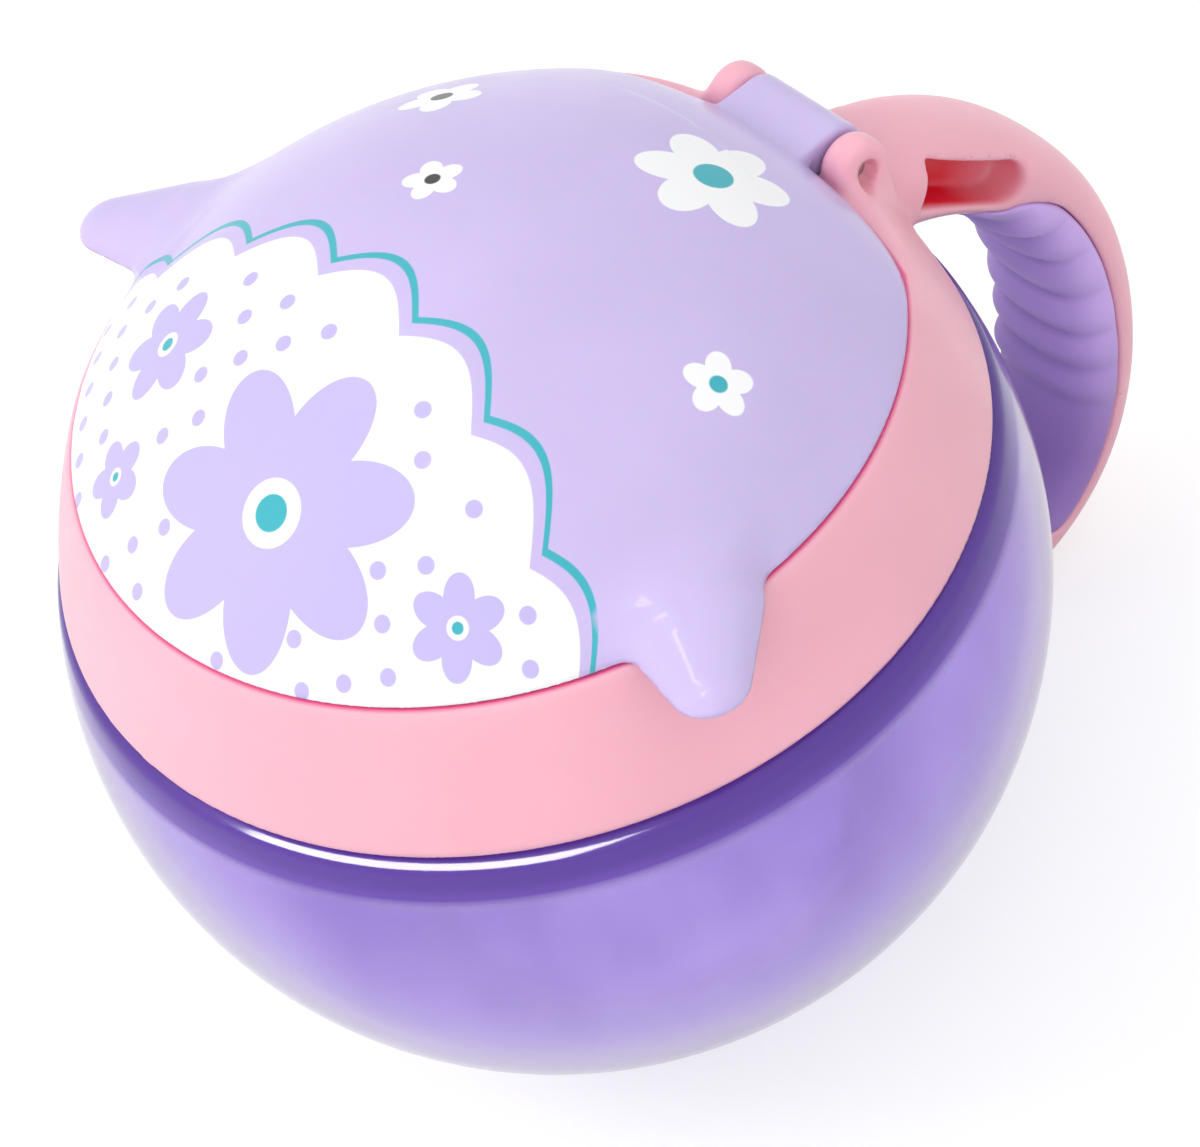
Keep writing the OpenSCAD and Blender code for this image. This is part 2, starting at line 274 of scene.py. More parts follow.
def handle_section(x, y, z):
    """The handle's full body, and the place on it: s along and angle round, where -90 faces the bowl."""
    s, out, beyond = PLANE.look_up(y, z)
    half_w = HANDLE_HALF_W[0] + (HANDLE_HALF_W[1] - HANDLE_HALF_W[0]) * ease((s - 0.5) / 0.5)
    root_t, mid_t, end_t = HANDLE_HALF_T
    half_t = root_t + (mid_t - root_t) * ease(s / 0.35) + (end_t - mid_t) * ease((s - 0.5) / 0.5)
    tip = np.clip((s - TIP_FROM) / (1 - TIP_FROM), 0, 1)
    scale = np.sqrt(np.maximum(0.04, 1 - tip**2))
    a, b = half_w * scale, half_t * scale
    u = (np.abs(x) / a) ** (SECTION_POWER / 2)
    v = np.sign(out) * (np.abs(out) / b) ** (SECTION_POWER / 2)
    size = (u * u + v * v) ** (1 / SECTION_POWER)
    body = (size - 1) * b
    body = common(body, beyond - 0.2, 0.6)
    return body, s, np.degrees(np.arctan2(v, u))


def grip_reach(s):
    t = np.clip(np.minimum((s - GRIP_FROM) / GRIP_RISE, (GRIP_TO - s) / GRIP_FALL), 0, 1)
    return GRIP_TIP_SPAN + (GRIP_SPAN - GRIP_TIP_SPAN) * np.sqrt(1 - (1 - t) ** 2)


def grip_zone(s, angle, grow):
    """Negative where the grip covers the handle, in about millimetres."""
    around = (angle + 90 - grip_reach(s)) * math.radians(1) * HANDLE_MEAN_R
    ends = np.maximum(GRIP_FROM - s, s - GRIP_TO) * HANDLE_LENGTH
    return common(around, ends, 1.5) - grow


def ribs(s, angle):
    t = (s - RIB_FROM) / (RIB_TO - RIB_FROM)
    u = np.clip(np.abs(angle + 90) / GRIP_SPAN, 0, 1)
    wave = np.sqrt(np.sin(np.pi * RIB_COUNT * t) ** 2 + 0.02)
    return np.where((t < 0) | (t > 1), 0, RIB_HEIGHT * (wave - RIB_VALLEY) * (1 - u**2))


def around_hinge(y, z):
    return np.hypot(y - HINGE_Y, z - HINGE_Z)


def collar_outside(r, z):
    low = np.array([COLLAR_LOW_R, COLLAR_LOW_Z])
    top = np.array([COLLAR_TOP_R, RIM_Z])
    chord = top - low
    length = np.hypot(*chord)
    inward = np.array([-chord[1], chord[0]]) / length
    centre = (low + top) / 2 + inward * math.sqrt(COLLAR_BULGE_R**2 - (length / 2) ** 2)
    return np.hypot(r - centre[0], z - centre[1]) - COLLAR_BULGE_R


def from_back(x, y):
    """Distance behind the lid's flattened back edge."""
    return np.hypot(x, y - BACK_AXIS_Y) - BACK_R


def collar_field(x, y, z):
    """The pink moulding: the ring, the two hinge ears and the handle, less the grip's bed."""
    r = np.hypot(x, y)
    hinge = around_hinge(y, z)
    back = from_back(x, y)
    slope = (COLLAR_BACK_R[0] - COLLAR_BACK_R[1]) / (RIM_Z - COLLAR_BACK_Z)
    back_cut = (back + BACK_R - COLLAR_BACK_R[1] - (RIM_Z - z) * slope) / math.hypot(1, slope)
    ring = common(collar_outside(r, z), back_cut, 0.8)
    ring = common(common(ring, z - RIM_Z, 0.7), COLLAR_LOW_Z - z, 0.9)
    rim_hole = common(r, back + LID_EDGE_R, PLAN_SOFT) - RIM_INNER_R
    mouth = np.minimum(common(r - DECK_BORE_R, rim_hole, 0.5), np.maximum(rim_hole, DECK_TOP_Z - z))
    ring = cut(ring, mouth, CUT_SOFT)
    plate = np.maximum(slab(y, EAR_FRONT_Y, EAR_BACK_Y), slab(z, EAR_FOOT_Z, HINGE_Z))
    plate = np.maximum(plate, half_plane(y, z, (HINGE_Y, HINGE_Z), (EAR_FRONT_Y, HINGE_Z - 1.8)))
    height = np.clip(EAR_FLARE - ring, 0, EAR_FLARE)
    flare = EAR_FLARE - np.sqrt(EAR_FLARE**2 - height**2)
    ears = common(np.minimum(hinge - KNUCKLE_R, plate), slab(np.abs(x), EAR_IN, EAR_OUT + flare), EAR_SOFT)
    body = join(ring, ears, 0.5)
    handle, s, angle = handle_section(x, y, z)
    hollow = pocket(x, y, z)
    bed = np.maximum(-(handle + GRIP_DEPTH), grip_zone(s, angle, 0))
    bed = np.maximum(bed, POCKET_WALL - hollow)
    handle = cut(handle, bed, CUT_SOFT)
    handle = cut(handle, np.hypot(r, z - BOWL_Z) - BOWL_R - 0.35, 0.4)
    body = join(body, handle, HANDLE_SOFT)
    body = cut(body, np.maximum(r - COLLAR_BORE_R, z - DECK_Z), CUT_SOFT)
    body = cut(body, np.maximum(r - DECK_BORE_R, -z), CUT_SOFT)
    body = cut(body, np.maximum(hinge - KNUCKLE_R - KNUCKLE_GAP, np.abs(x) - EAR_IN), CUT_SOFT)
    bore = np.where(np.abs(x) > PIN_HALF, hinge - EAR_MOUTH_R, hinge - PIN_R)
    body = cut(body, bore, CUT_SOFT)
    return cut(body, hollow, POCKET_SOFT)


def pocket(x, y, z):
    """The moulder's hollow in each side of the handle."""
    u, v = y - POCKET_AT[0], z - POCKET_AT[1]
    along = u * math.cos(POCKET_SLOPE) + v * math.sin(POCKET_SLOPE)
    across = v * math.cos(POCKET_SLOPE) - u * math.sin(POCKET_SLOPE)
    half_l, half_h = POCKET_HALF
    outline = rounded_box(along, across, half_l, half_h, np.where(along > 0, half_h, 0.3))
    return common(outline, POCKET_FLOOR_X - np.abs(x), 0.8)


def grip_field(x, y, z):
    body, s, angle = handle_section(x, y, z)
    u = np.clip(np.abs(angle + 90) / GRIP_SPAN, 0, 1)
    outside = body - GRIP_PROUD * (1 - u**4) - ribs(s, angle)
    shell = common(outside, -(body + GRIP_DEPTH - 0.05), 0.2)
    shell = common(shell, POCKET_WALL + GRIP_SEAM - pocket(x, y, z), 0.3)
    return common(shell, grip_zone(s, angle, -GRIP_SEAM), 0.7)


def tab(x, y, z):
    """The side tabs as tapered pads, whose lower half the lid's flat underside cuts off."""
    u, v = np.abs(x) - TAB_BASE[0], y - TAB_BASE[1]
    along = u * math.cos(TAB_TURN) - v * math.sin(TAB_TURN)
    aside = np.abs(u * math.sin(TAB_TURN) + v * math.cos(TAB_TURN))
    taper = math.asin((TAB_BASE_SIZE[0] - TAB_TIP_SIZE[0]) / TAB_REACH)
    t = np.clip((along - aside * math.tan(taper)) / TAB_REACH, 0, 1)
    wide = TAB_BASE_SIZE[0] + (TAB_TIP_SIZE[0] - TAB_BASE_SIZE[0]) * t
    thick = TAB_BASE_SIZE[1] + (TAB_TIP_SIZE[1] - TAB_BASE_SIZE[1]) * t
    size = np.sqrt(((along - t * TAB_REACH) ** 2 + aside**2) / wide**2 + ((z - LID_LOW_Z) / thick) ** 2)
    return (size - 1) * thick


def lid_field(x, y, z):
    """The dome with its plug, tabs and hinge barrel."""
    r = np.hypot(x, y)
    hinge = around_hinge(y, z)
    back = from_back(x, y)
    dome = np.hypot(r, z - DOME_Z) - DOME_R
    round_at = (DOME_R - BACK_ROUND) * np.array([math.sin(BACK_TURN), math.cos(BACK_TURN)])
    round_at[0] -= BACK_AXIS_Y
    rounding = np.hypot(back + BACK_R - round_at[0], z - DOME_Z - round_at[1]) - BACK_ROUND
    before = back + BACK_R + BACK_AXIS_Y - DOME_R * math.sin(BACK_TURN)
    dome = common(dome, np.minimum(before, rounding), 1.0)
    side = np.abs(x) - BARREL_HALF
    side_angle = math.atan2(BLOCK_FRONT[1] - HINGE_Z, BLOCK_FRONT[0] - HINGE_Y)
    reach = math.hypot(BLOCK_FRONT[1] - HINGE_Z, BLOCK_FRONT[0] - HINGE_Y)
    turn = side_angle - math.acos(KNUCKLE_R / reach)
    tangent = (HINGE_Y + KNUCKLE_R * math.cos(turn), HINGE_Z + KNUCKLE_R * math.sin(turn))
    block = np.maximum(half_plane(y, z, tangent, BLOCK_FRONT), BLOCK_FRONT[0] - 6 - y)
    block = np.maximum(block, np.maximum(y - HINGE_Y, BLOCK_UNDER_Z - z))
    barrel = np.minimum(hinge - KNUCKLE_R, np.maximum(block, -(z - HINGE_Z + 5)))
    barrel = common(barrel, side, 0.5)
    outside = join(dome, tab(x, y, z), 1.0 + 0.8 * np.clip(z - LID_LOW_Z, 0, 4))
    outside = common(outside, LID_LOW_Z - z, 0.6)
    # The fillet of dome and barrel fades out towards the hinge, and none of it hangs below the lid
    outside = join(outside, barrel, 0.1 + 2.5 * ease((HINGE_Y - 3 - y) / 4))
    outside = np.maximum(outside, np.minimum(LID_LOW_Z - z, hinge - KNUCKLE_R))
    plan = common(r, back + LID_EDGE_R, PLAN_SOFT)
    plug = np.maximum(plan - PLUG_OUTER_R, slab(z, PLUG_LOW_Z, LID_LOW_Z + 1))
    solid = join(outside, plug, 0.2)
    hollow = common(np.hypot(r, z - DOME_Z) - DOME_R + LID_WALL, plan - PLUG_INNER_R, 1.0)
    solid = cut(solid, hollow, 0.3)
    solid = cut(solid, hinge - PIN_R - BORE_GAP, 0.2)
    ear_room = np.maximum(hinge - KNUCKLE_R - KNUCKLE_GAP, slab(np.abs(x), BARREL_HALF, EAR_OUT + 0.4))
    return cut(solid, ear_room, 0.3)


def ring_field(x, y, z):
    """The membrane's rim, with a hexagonal hole."""
    r = np.hypot(x, y)
    sector = math.pi / FLAPS
    angle = np.abs((np.arctan2(y, x) + sector) % (2 * sector) - sector)
    hole = r * np.cos(angle) - RING_APOTHEM
    plate = common(r - RING_R, slab(z, MEMBRANE_Z, MEMBRANE_Z + MEMBRANE_T), 0.4)
    return cut(plate, hole, 0.4)


def flap_field(x, y, z):
    """The first flap, which points along +X from its half-round root."""
    half = math.pi / FLAPS
    sides = np.abs(y) * math.cos(half) - x * math.sin(half) + SLIT_W / 2
    wedge = np.maximum(sides, slab(x, FLAP_TIP, FLAP_ROOT))
    level = z - MEMBRANE_Z - MEMBRANE_T / 2
    flat = common(wedge, np.abs(level) - MEMBRANE_T / 2, 0.4)
    root_w = FLAP_ROOT * math.tan(half) - SLIT_W / 2 / math.cos(half)
    root = common(np.hypot(x - FLAP_ROOT, level) - MEMBRANE_T / 2, np.abs(y) - root_w, 0.4)
    return np.minimum(flat, root)


# ---------------------------------------------------------------- meshes


def shown(name, points, faces, body, *nodes):
    """A smooth-shaded mesh object from points in millimetres, riding on a CAD body in place of CAD nodes."""
    mesh = bpy.data.meshes.new(name)
    faces = faces if isinstance(faces, list) else faces.tolist()
    mesh.from_pydata((np.asarray(points) * MM).tolist(), [], faces)
    mesh.validate()
    mesh.shade_smooth()
    piece = bpy.data.objects.new(name, mesh)
    bpy.context.scene.collection.objects.link(piece)
    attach(piece, body)
    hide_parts(*nodes)
    return piece


def slope_of(field, points):
    """Gradient of a field at each point."""
    tiny = 0.01
    return np.stack([
        field(*(points + tiny * axis).T) - field(*(points - tiny * axis).T) for axis in np.eye(3)
    ], 1) / (2 * tiny)


def settle(field, points, cell, rounds):
    """Moves points onto the surface where the field is 0, each round by at most half a cell."""
    for _ in range(rounds):
        slope = slope_of(field, points)
        step = slope * (field(*points.T) / np.maximum((slope**2).sum(1), 0.05))[:, None]
        length = np.linalg.norm(step, axis=1)
        step *= np.minimum(1, 0.5 * cell / np.maximum(length, 1e-9))[:, None]
        points = points - step
    return points


def surface(field, low, high, cell):
    """Points and quads of the surface where the field is 0.

    Each grid cell that the surface crosses gets one point, which the surface's slopes at the
    crossings pull into edges and corners."""
    low = np.array(low, float)
    count = np.ceil((np.array(high, float) - low) / cell).astype(int) + 1
    axes = [low[i] + cell * np.arange(count[i]) for i in range(3)]
    value = np.broadcast_to(field(*np.meshgrid(*axes, indexing="ij", sparse=True)), count)
    inside = value < 0
    units = np.eye(3, dtype=int)
    cells, planes, loops = [], [], []
    for axis in range(3):
        ring = [slice(1, -1)] * 3
        first, second = list(ring), list(ring)
        first[axis], second[axis] = slice(None, -1), slice(1, None)
        a, b = value[tuple(first)], value[tuple(second)]
        at = np.nonzero(inside[tuple(first)] != inside[tuple(second)])
        one, two = units[(axis + 1) % 3], units[(axis + 2) % 3]
        corner = np.stack(at, 1) + one + two
        share = a[at] / (a[at] - b[at])
        points = settle(field, low + cell * (corner + share[:, None] * units[axis]), cell, 1)
        normals = slope_of(field, points)
        normals /= np.maximum(np.linalg.norm(normals, axis=1), 1e-9)[:, None]
        around = [corner - step for step in (one + two, two, 0 * one, one)]
        keys = np.stack([np.ravel_multi_index(c.T, count) for c in around], 1)
        loops.append(np.where((a[at] < 0)[:, None], keys, keys[:, ::-1]))
        cells.append(keys.ravel())
        planes.append(np.repeat(np.hstack([points, normals]), 4, axis=0))
    loops, planes = np.concatenate(loops), np.concatenate(planes)
    used, back = np.unique(np.concatenate(cells), return_inverse=True)
    points, normals = planes[:, :3], planes[:, 3:]

    def per_cell(v):
        return np.bincount(back, weights=v, minlength=len(used))

    number = per_cell(np.ones(len(back)))
    middle = np.stack([per_cell(points[:, i]) for i in range(3)], 1) / number[:, None]
    offset = (normals * (points - middle[back])).sum(1)
    hold = 0.1
    matrix = np.array([[per_cell(normals[:, i] * normals[:, j]) for j in range(3)] for i in range(3)])
    matrix = matrix.transpose(2, 0, 1) + hold * np.eye(3)
    pull = np.stack([per_cell(normals[:, i] * offset) for i in range(3)], 1)
    middle += np.clip(np.linalg.solve(matrix, pull[..., None])[..., 0], -0.5 * cell, 0.5 * cell)
    faces = np.searchsorted(used, loops)
    return settle(field, middle, cell, 2), faces


def arc(centre, radius, start, end, count):
    """Points of an arc in an outline of (radius, height), angles in degrees from outward."""
    a = np.radians(np.linspace(start, end, count))
    return [(centre[0] + radius * math.cos(t), centre[1] + radius * math.sin(t)) for t in a]


def lathe(outline, segments):
    """Points and quads of a closed outline turned about Z, or of an open one that starts and ends on Z."""
    angles = np.radians(np.arange(segments) * 360 / segments)
    points, rows = [], []
    for r, z in outline:
        if r < 1e-6:
            rows.append([len(points)] * segments)
            points.append((0, 0, z))
        else:
            rows.append(list(range(len(points), len(points) + segments)))
            points += [(r * math.cos(a), r * math.sin(a), z) for a in angles]
    faces = []
    for lower, upper in zip(rows, rows[1:]):
        for i in range(segments):
            j = (i + 1) % segments
            face = [lower[i], lower[j], upper[j], upper[i]]
            face = [p for n, p in enumerate(face) if p not in face[:n]]
            faces.append(face)
    return points, faces


def helix(r, side, start, z):
    """Points and faces of a thread on a wall of radius r that stands out (side 1) or in (side -1)."""
    root, crest, sink, lead, step = 1.3, 0.6, 0.6, 30.0, 5.0
    turns = np.arange(0, THREAD_ANGLE + step / 2, step)
    points, faces = [], []
    for a in turns:
        k = max(0.08, min(1, min(a, THREAD_ANGLE - a) / lead))
        c = z + THREAD_PITCH * a / 360
        tip = r + side * THREAD_HEIGHT * k
        bed = r - side * sink
        section = [(bed, c - root), (tip - side * 0.2, c - crest), (tip, c - crest / 2), (tip, c + crest / 2),
                   (tip - side * 0.2, c + crest), (bed, c + root)]
        if side < 0:
            section.reverse()
        t = math.radians(start + a)
        points += [(q * math.cos(t), q * math.sin(t), h) for q, h in section]
    n = 6
    for i in range(len(turns) - 1):
        for j in range(n):
            k = (j + 1) % n
            faces.append([i * n + j, i * n + k, (i + 1) * n + k, (i + 1) * n + j])
    faces.append(list(range(n - 1, -1, -1)))
    faces.append([(len(turns) - 1) * n + j for j in range(n)])
    return points, faces


def bowl_outline():
    """Outside of the bowl from the middle of its base up, over the lip and down the inside."""
    cone = math.atan2(-BOWL_Z, BASE_R) + math.acos(BOWL_R / math.hypot(BASE_R, BOWL_Z))
    round_z = SHOULDER_Z - SHOULDER_ROUND
    round_r = math.sqrt((BOWL_R - SHOULDER_ROUND) ** 2 - (round_z - BOWL_Z) ** 2)
    shoulder = math.degrees(math.atan2(round_z - BOWL_Z, round_r))
    foot = 0.8
    inner_r = BOWL_R - BOWL_WALL
    floor_angle = math.degrees(math.asin((BOWL_WALL - BOWL_Z) / inner_r))
    top = SHOULDER_Z - BOWL_WALL
    top_angle = math.degrees(math.asin((top - BOWL_Z) / inner_r))
    neck_in = NECK_R - BOWL_WALL
    line = [(0, 0), (8, 0), (16, 0), (BASE_R - foot, 0)]
    line += arc((BASE_R - foot, foot), foot, -80, math.degrees(cone), 5)
    line += arc((0, BOWL_Z), BOWL_R, math.degrees(cone), shoulder, 72)
    line += arc((round_r, round_z), SHOULDER_ROUND, shoulder + 12, 90, 6)
    line += arc((NECK_R + 0.6, SHOULDER_Z + 0.6), 0.6, 270, 180, 5)
    line += arc((NECK_R - LIP_ROUND, NECK_TOP_Z - LIP_ROUND), LIP_ROUND, 0, 90, 5)
    line += arc((neck_in + LIP_ROUND, NECK_TOP_Z - LIP_ROUND), LIP_ROUND, 90, 180, 5)
    line += arc((neck_in + 1.0, top + 1.0), 1.0, 180, 250, 4)
    line += arc((0, BOWL_Z), inner_r, top_angle, floor_angle, 64)
    line += [(16, BOWL_WALL), (8, BOWL_WALL), (0, BOWL_WALL)]
    return line


def make_bowl():
    points, faces = lathe(bowl_outline(), 192)
    bowl = shown("bowl_shell", points, faces, "bowl", "bowl")
    start = -180
    z = COLLAR_THREAD_Z + THREAD_PITCH / 2 + start / 360 * THREAD_PITCH
    thread = shown("bowl_thread", *helix(NECK_R, 1, start, z), "bowl")
    look = tinted_clear()
    for piece in (bowl, thread):
        piece.data.materials.append(look)
    return bowl


def make_collar():
    cell = 0.55
    box = ((-51, -51, -1), (51, 80, 85))
    points, faces = surface(collar_field, *box, cell)
    collar = shown("collar_moulding", points, faces, "collar", "collar", "handle")
    thread = shown("collar_thread", *helix(COLLAR_BORE_R, -1, 0, COLLAR_THREAD_Z), "collar")
    look = pink_plastic()
    for piece in (collar, thread):
        piece.data.materials.append(look)


def make_grip():
    cell = 0.45
    points, faces = surface(grip_field, (-11, 40, -1), (11, 82, 74), cell)
    grip = shown("soft_grip", points, faces, "collar", "grip")
    grip.data.materials.append(soft_rubber())


def make_pin():
    """The hinge pin, a wire with chamfered ends."""
    chamfer = 0.25
    outline = [(0, -PIN_HALF), (PIN_R - chamfer, -PIN_HALF), (PIN_R, -PIN_HALF + chamfer)]
    outline += [(r, -h) for r, h in reversed(outline)]
    points, faces = lathe(outline, 40)
    points = [(z, HINGE_Y + x, HINGE_Z + y) for x, y, z in points]
    pin = shown("steel_pin", points, faces, "collar", "hinge_pin")
    pin.data.materials.append(steel())


def make_lid():
    cell = 0.5
    points, faces = surface(lid_field, (-53, -46, 75), (53, 49, 101), cell)
    lid = shown("lid_dome", points, faces, "lid", "lid")
    lid.data.materials.append(printed_lavender())
    return lid


def make_membrane():
    material = soft_silicone()
    cell = 0.5
    height = (MEMBRANE_Z - 1, MEMBRANE_Z + MEMBRANE_T + 1)
    points, faces = surface(ring_field, (-45, -45, height[0]), (45, 45, height[1]), cell)
    ring = shown("membrane_rim", points, faces, "membrane", "flap_ring")
    points, faces = surface(flap_field, (1, -18, height[0]), (31, 18, height[1]), 0.4)
    pieces = [ring]
    for number in range(FLAPS):
        turn = Matrix.Rotation(2 * math.pi * number / FLAPS, 3, "Z")
        turned = points @ np.array(turn).T
        name = f"flap_{number + 1}"
        pieces.append(shown(f"membrane_{name}", turned, faces, name, name))
    for piece in pieces:
        piece.data.materials.append(material)


# ---------------------------------------------------------------- materials


PINK = (0.95, 0.47, 0.57, 1.0)
PINK_GAP_SHADOW = (0.80, 0.06, 0.24, 1.0)
PINK_POCKET_SHADE = (0.78, 0.004, 0.03, 1.0)
GRIP_PURPLE = (0.68, 0.47, 0.96, 1.0)
GRIP_LOW_SHADE = (0.34, 0.20, 0.55, 1.0)
GRIP_VALLEY_SHADE = (0.36, 0.23, 0.60, 1.0)
BOWL_MID = (0.54, 0.43, 0.80, 1.0)
BOWL_PALE = (0.66, 0.56, 0.91, 1.0)
BOWL_DEEP_AND_SHADE = (0.13, 0.05, 0.40, 1.0)
BOWL_DEEP_AND_SHADE_Z = (58.6, 60.2)
STEEL_DARK = (0.45, 0.44, 0.43, 1.0)
STEEL_LIGHT = (0.7, 0.69, 0.68, 1.0)


def linear(red, green, blue):
    """A colour given as 0 to 255 on a screen, as Blender's linear RGBA."""
    def channel(v):
        v /= 255
        return v / 12.92 if v <= 0.04045 else ((v + 0.055) / 1.055) ** 2.4
    return (channel(red), channel(green), channel(blue), 1.0)


class Shader:
    """One procedural material and short calls that add nodes to it."""

    def __init__(self, name):
        self.material = bpy.data.materials.new(name)
        self.material.use_nodes = True
        self.nodes = self.material.node_tree.nodes
        self.links = self.material.node_tree.links
        self.surface = self.nodes["Principled BSDF"]
        where = self.nodes.new("ShaderNodeTexCoord")
        self.place = where.outputs["Object"]

    def put(self, socket, value):
        if isinstance(value, bpy.types.NodeSocket):
            self.links.new(value, socket)
        else:
            socket.default_value = value

    def math(self, operation, a, b=0.0, c=0.0):
        node = self.nodes.new("ShaderNodeMath")
        node.operation = operation
        for socket, value in zip(node.inputs, (a, b, c)):
            self.put(socket, value)
        return node.outputs[0]

    def fade(self, value, low, high, to_low=0.0, to_high=1.0):
        """Runs from to_low to to_high as value runs from low to high."""
        node = self.nodes.new("ShaderNodeMapRange")
        for socket, v in zip(node.inputs, (value, low, high, to_low, to_high)):
            self.put(socket, v)
        return node.outputs[0]

    def mix(self, share, a, b):
        node = self.nodes.new("ShaderNodeMix")
        node.data_type = "RGBA"
        self.put(node.inputs[0], share)
        self.put(node.inputs[6], a)
        self.put(node.inputs[7], b)
        return node.outputs[2]

    def millimetres(self):
        """The three object coordinates, in millimetres."""
        apart = self.nodes.new("ShaderNodeSeparateXYZ")
        self.links.new(self.place, apart.inputs[0])
        return [self.math("MULTIPLY", axis, 1 / MM) for axis in apart.outputs]

    def length(self, *parts):
        total = 0.0
        for part in parts:
            total = self.math("ADD", total, self.math("MULTIPLY", part, part))
        return self.math("SQRT", total)

    def inside(self, distance):
        """1 where a distance is below 0, with a fine soft edge."""
        return self.fade(distance, -PRINT_SOFT, PRINT_SOFT, 1.0, 0.0)

    def noise(self, scale, detail=3.0):
        node = self.nodes.new("ShaderNodeTexNoise")
        self.links.new(self.place, node.inputs["Vector"])
        node.inputs["Scale"].default_value = scale
        node.inputs["Detail"].default_value = detail
        return node.outputs["Fac"]

    def bump(self, height, strength, distance):
        node = self.nodes.new("ShaderNodeBump")
        node.inputs["Strength"].default_value = strength
        node.inputs["Distance"].default_value = distance
        self.links.new(height, node.inputs["Height"])
        self.links.new(node.outputs["Normal"], self.surface.inputs["Normal"])

    def set(self, **values):
        for name, value in values.items():
            self.put(self.surface.inputs[name.replace("_", " ")], value)


def moulded(shader, colour, roughness):
    """Moulded plastic: a faint cloudiness in the colour, uneven gloss and a fine skin."""
    cloud = shader.noise(45.0)
    deep = tuple(v * 0.94 for v in colour[:3]) + (1.0,)
    tone = shader.mix(shader.fade(cloud, 0.35, 0.65), deep, colour)
    gloss = shader.fade(shader.noise(260.0), 0.3, 0.7, roughness - 0.04, roughness + 0.04)
    shader.set(Base_Color=tone, Roughness=gloss)
    shader.bump(shader.noise(1400.0, 2.0), 0.06, 0.0002)
    return tone


def pink_plastic():
    """Pink plastic, with painted shade: a magenta line of painted shadow in the gap under the lid's edge, and
    painted light and shade, a saturated deep red, in the handle's pocket.
    """
    shader = Shader("pink_plastic_look")
    tone = moulded(shader, PINK, 0.42)
    x, y, z = shader.millimetres()
    # Painted shadow: a magenta line where the collar runs in under the lid's edge, fading out before the
    # hinge ears
    from_axis = shader.length(x, shader.math("SUBTRACT", y, BACK_AXIS_Y))
    behind = shader.math("SUBTRACT", from_axis, BACK_R - LID_EDGE_R)
    radius = shader.math("MAXIMUM", shader.length(x, y), behind)
    gap_shadow = shader.math("MULTIPLY", shader.fade(radius, LID_EDGE_R - 0.3, LID_EDGE_R + 0.1, 0.9, 0.0),
                       shader.fade(z, RIM_Z - 1.2, RIM_Z - 0.1))
    gap_shadow = shader.math("MULTIPLY", gap_shadow, shader.fade(y, EAR_FRONT_Y - 3, EAR_FRONT_Y - 1, 1.0, 0.0))
    # Painted light and shade in the handle's pocket: a saturated deep red, strongest deep inside and at its
    # square end, for the shaded hollow lit through the pink walls
    u, v = shader.math("SUBTRACT", y, POCKET_AT[0]), shader.math("SUBTRACT", z, POCKET_AT[1])
    along = shader.math("ADD", shader.math("MULTIPLY", u, math.cos(POCKET_SLOPE)),
                        shader.math("MULTIPLY", v, math.sin(POCKET_SLOPE)))
    across = shader.math("SUBTRACT", shader.math("MULTIPLY", v, math.cos(POCKET_SLOPE)),
                         shader.math("MULTIPLY", u, math.sin(POCKET_SLOPE)))
    side = shader.math("ABSOLUTE", x)
    depth = shader.fade(side, POCKET_FLOOR_X + 3.4, HANDLE_HALF_W[0] - 0.3, 1.0, 0.0)
    half_l, half_h = POCKET_HALF
    edge = 0.4
    reach = shader.math("MULTIPLY", shader.fade(along, 0.0, half_l, 1.0, 0.25),
                        shader.fade(shader.math("ABSOLUTE", across), half_h, half_h + edge, 1.0, 0.0))
    reach = shader.math("MULTIPLY", reach,
                        shader.fade(shader.math("ABSOLUTE", along), half_l, half_l + edge, 1.0, 0.0))
    tone = shader.mix(gap_shadow, tone, PINK_GAP_SHADOW)
    shader.set(Base_Color=shader.mix(shader.math("MULTIPLY", reach, depth), tone, PINK_POCKET_SHADE))
    shader.set(Subsurface_Weight=0.25, Subsurface_Scale=0.002, Coat_Weight=0.15, Coat_Roughness=0.25)
    shader.surface.inputs["Subsurface Radius"].default_value = (1.0, 0.45, 0.5)
    return shader.material


def soft_rubber():
    """Purple rubber, with painted shade towards the handle's low end and in the valleys between its ribs."""
    shader = Shader("grip_look")
    tone = moulded(shader, GRIP_PURPLE, 0.62)
    x, y, z = shader.millimetres()
    # Painted shade: darker purple below 34 mm, darkest below 14 mm, where the grip sits between bowl and
    # handle
    tone = shader.mix(shader.fade(z, 14.0, 34.0), GRIP_LOW_SHADE, tone)
    # Painted shade in the valleys between the ribs, darkest just below each ridge, fading out towards the
    # grip's sides
    valley_shade = 0.0
    for number in range(RIB_COUNT + 1):
        s = RIB_FROM + (RIB_TO - RIB_FROM) * number / RIB_COUNT
        here, ahead = handle_line(s), handle_line(s + 0.01) - handle_line(s - 0.01)
        ahead /= np.hypot(*ahead)
        past = shader.math("ADD", shader.math("MULTIPLY", shader.math("SUBTRACT", y, here[0]), ahead[0]),
                           shader.math("MULTIPLY", shader.math("SUBTRACT", z, here[1]), ahead[1]))
        shade = shader.math("MULTIPLY", shader.fade(past, -2.4, -0.2), shader.fade(past, 0.0, 1.0, 1.0, 0.0))
        valley_shade = shader.math("MAXIMUM", valley_shade, shade)
    valley_shade = shader.math("MULTIPLY", valley_shade, shader.fade(shader.math("ABSOLUTE", x), 5.0, 8.0, 0.6, 0.0))
    shader.set(Base_Color=shader.mix(valley_shade, tone, GRIP_VALLEY_SHADE))
    shader.set(Sheen_Weight=0.15, Sheen_Roughness=0.5)
    return shader.material


